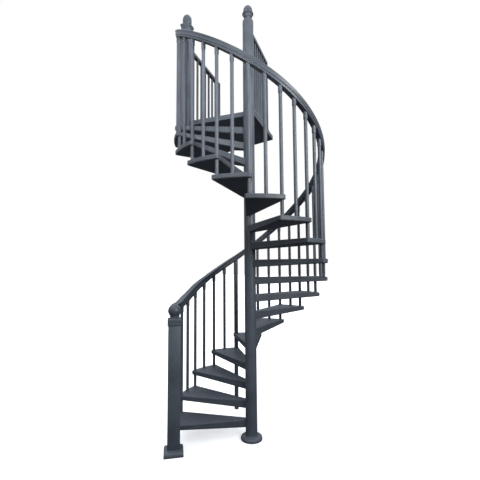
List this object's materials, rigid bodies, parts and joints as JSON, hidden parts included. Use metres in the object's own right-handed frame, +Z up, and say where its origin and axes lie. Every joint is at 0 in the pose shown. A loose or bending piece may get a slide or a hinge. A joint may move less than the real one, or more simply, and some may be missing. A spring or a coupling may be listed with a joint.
{
  "type": "spiral staircase",
  "caption": "Spiral staircase with wedge treads around a centre pole, swept moulded handrail on round balusters, square newels with ball tops and a guarded landing.",
  "frame": {"origin": "the point where the axis of the centre pole meets the floor, on the underside of the pole's foot", "axes": "+Z up along the pole; the landing lies on the +Y side of the pole with its front edge along X; the stair climbs clockwise seen from above"},
  "size_m": [1.5235, 1.7909, 4.5086],
  "materials": {
    "frame_coat": "satin slate grey powder coat",
    "tread_coat": "fine textured slate grey powder coat",
    "rail_coat": "smooth satin slate grey powder coat"
  },
  "bodies": {
    "root": {"center_pole": "frame_coat", "pole_base": "frame_coat", "pole_finial": "frame_coat", "tread_01": "tread_coat", "tread_02": "tread_coat", "tread_03": "tread_coat", "tread_04": "tread_coat", "tread_05": "tread_coat", "tread_06": "tread_coat", "tread_07": "tread_coat", "tread_08": "tread_coat", "tread_09": "tread_coat", "tread_10": "tread_coat", "tread_11": "tread_coat", "tread_12": "tread_coat", "tread_13": "tread_coat", "tread_14": "tread_coat", "tread_15": "tread_coat", "tread_16": "tread_coat", "tread_17": "tread_coat", "tread_18": "tread_coat", "landing_platform": "tread_coat", "bottom_newel_post": "frame_coat", "bottom_newel_base": "frame_coat", "bottom_newel_cap": "frame_coat", "top_newel_post": "frame_coat", "top_newel_finial": "frame_coat", "handrail_1": "rail_coat", "handrail_2": "rail_coat", "handrail_3": "rail_coat", "handrail_4": "rail_coat", "handrail_5": "rail_coat", "handrail_6": "rail_coat", "handrail_7": "rail_coat", "handrail_8": "rail_coat", "tie_balusters": "frame_coat", "tread_balusters": "frame_coat", "support_post": "frame_coat", "left_guard": "frame_coat", "right_guard": "frame_coat"}
  },
  "joints": []
}
